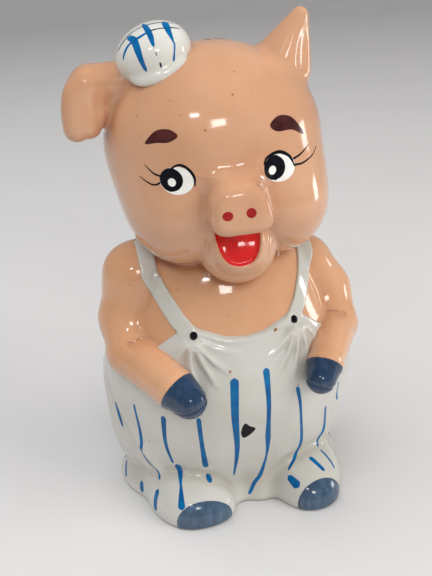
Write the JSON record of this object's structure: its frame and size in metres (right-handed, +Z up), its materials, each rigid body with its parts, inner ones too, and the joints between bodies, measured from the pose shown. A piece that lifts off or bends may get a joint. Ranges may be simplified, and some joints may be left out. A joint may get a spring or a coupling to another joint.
{
  "type": "piggy bank",
  "caption": "Hollow glazed ceramic pig bank in bib overalls and a small cap, with a coin slot in the crown and a stopper in the base.",
  "frame": {"origin": "centre of the bounding box in plan, on the surface the bank stands on", "axes": "+Z up, -Y the way the pig faces, +X the pig's own left"},
  "size_m": [0.169, 0.1394, 0.3009],
  "materials": {
    "skin_glaze": "peach slip under a clear gloss glaze",
    "cream_glaze": "warm cream under a clear gloss glaze",
    "hoof_glaze": "blue-grey gloss glaze with brush streaks",
    "black_glaze": "black gloss brushwork",
    "blue_glaze": "blue gloss brushwork, thicker where the brush slowed",
    "red_glaze": "red gloss brushwork",
    "brown_glaze": "dark red-brown gloss brushwork",
    "white_glaze": "white gloss brushwork",
    "stopper_rubber": "matt red-brown rubber"
  },
  "bodies": {
    "bank": {"chest_shell": "skin_glaze", "head_shell": "skin_glaze", "ear_upright": "skin_glaze", "ear_folded": "skin_glaze", "arm_right": "skin_glaze", "arm_left": "skin_glaze", "overalls_shell": "cream_glaze", "bib": "cream_glaze", "strap_right": "cream_glaze", "strap_left": "cream_glaze", "trouser_leg_right": "cream_glaze", "trouser_leg_left": "cream_glaze", "cap_crown": "cream_glaze", "cap_peak": "cream_glaze", "hand_right": "hoof_glaze", "hand_left": "hoof_glaze", "foot_right": "hoof_glaze", "foot_left": "hoof_glaze", "button_right": "black_glaze", "button_left": "black_glaze"},
    "stopper": {"stopper": "stopper_rubber"}
  },
  "joints": [
    {"name": "stopper_pull", "type": "slide", "parent": "bank", "child": "stopper", "axis": [0, 0, -1], "range_m": [0, 0.03]}
  ]
}
